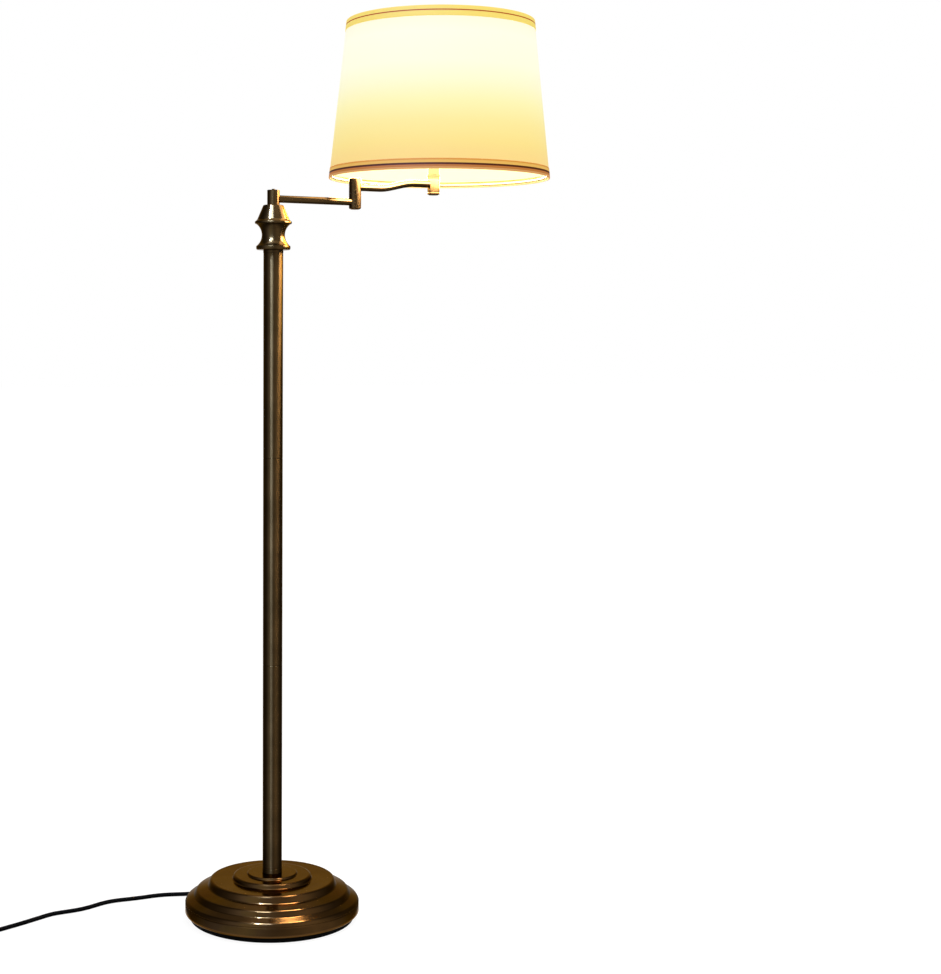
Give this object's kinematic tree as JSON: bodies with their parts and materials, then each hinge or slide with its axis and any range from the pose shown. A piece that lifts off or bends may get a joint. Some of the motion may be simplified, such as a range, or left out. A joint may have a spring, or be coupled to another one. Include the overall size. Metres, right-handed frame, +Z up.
{
  "type": "floor lamp",
  "caption": "Floor lamp with a stepped round base, a slim pole with a turned neck, a swing arm with an elbow, and a tapered fabric shade with ribbon trims.",
  "frame": {"origin": "centre of the base on the floor, under the pole's axis", "axes": "+Z up along the pole, +X along the straight arm towards the shade, +Y to the arm's left"},
  "size_m": [1.0022, 0.4244, 1.4399],
  "materials": {
    "bronze": "antique bronze plate, brushed round the axis, clear lacquer",
    "zinc_steel": "zinc plated",
    "iron": "as cast",
    "pad": "matte black",
    "lead": "satin black",
    "black_plastic": "satin black",
    "brass": "satin",
    "bulb_cap": "bright",
    "bulb_glass": "frosted, lit from inside",
    "shade_fabric": "cream linen over a plastic lining, lit from inside",
    "ribbon": "gold woven ribbon with brown stripes",
    "frame_wire": "satin"
  },
  "bodies": {
    "stand": {"base_cover": "bronze", "base_weight": "iron", "base_pad": "pad", "cord_relief": "black_plastic", "base_rod": "zinc_steel", "base_washer": "zinc_steel", "base_nut": "zinc_steel", "pole_foot": "bronze", "pole_lower": "bronze", "pole_middle": "bronze", "pole_upper": "bronze", "pole_inserts": "zinc_steel", "pole_nipples": "zinc_steel", "pole_collar": "bronze", "neck_spool": "bronze", "neck_bell": "bronze", "neck_rod": "zinc_steel", "column_spindle": "zinc_steel", "column_washer": "zinc_steel", "column_nut": "zinc_steel", "stand_wire": "lead", "cord": "lead", "cord_coil": "lead", "cord_tie": "black_plastic", "cord_tail": "lead", "plug_body": "black_plastic", "plug_blades": "brass"},
    "inner_arm": {"column_knuckle": "bronze", "column_cap": "bronze", "inner_arm_tube": "bronze", "elbow_lower_knuckle": "bronze", "elbow_bottom_cap": "bronze", "inner_arm_wire": "lead"},
    "outer_arm": {"elbow_upper_knuckle": "bronze", "elbow_top_cap": "bronze", "elbow_spindle": "zinc_steel", "elbow_washer": "zinc_steel", "elbow_nut": "zinc_steel", "outer_arm_tube": "bronze", "shade_knuckle": "bronze", "knuckle_bead": "bronze", "neck_ring": "bronze", "socket_neck": "bronze", "socket_rod": "zinc_steel", "outer_arm_wire": "lead", "harp_saddle": "brass", "harp_bow": "brass", "harp_sleeves": "brass", "harp_stud": "brass", "finial": "bronze", "socket_cap": "brass", "socket_shell": "brass", "socket_core": "black_plastic", "bulb_base": "bulb_cap", "bulb_globe": "bulb_glass"},
    "switch": {"switch_key": "black_plastic"},
    "shade": {"shade_cover": "shade_fabric", "shade_frame": "frame_wire", "shade_trims": "ribbon"}
  },
  "joints": [
    {"name": "column_swivel", "type": "hinge", "parent": "stand", "child": "inner_arm", "pos_m": [0, 0, 1.1442], "axis": [0, 0, 1], "range_deg": [-160, 160]},
    {"name": "elbow_swivel", "type": "hinge", "parent": "inner_arm", "child": "outer_arm", "pos_m": [0.14, 0, 1.1579], "axis": [0, 0, 1], "range_deg": [-180, 180]},
    {"name": "shade_spin", "type": "hinge", "parent": "outer_arm", "child": "shade", "pos_m": [0.29, 0, 1.4165], "axis": [0, 0, 1], "continuous": true},
    {"name": "switch_turn", "type": "hinge", "parent": "outer_arm", "child": "switch", "pos_m": [0.26, 0, 1.2326], "axis": [-1, 0, 0], "continuous": true}
  ]
}
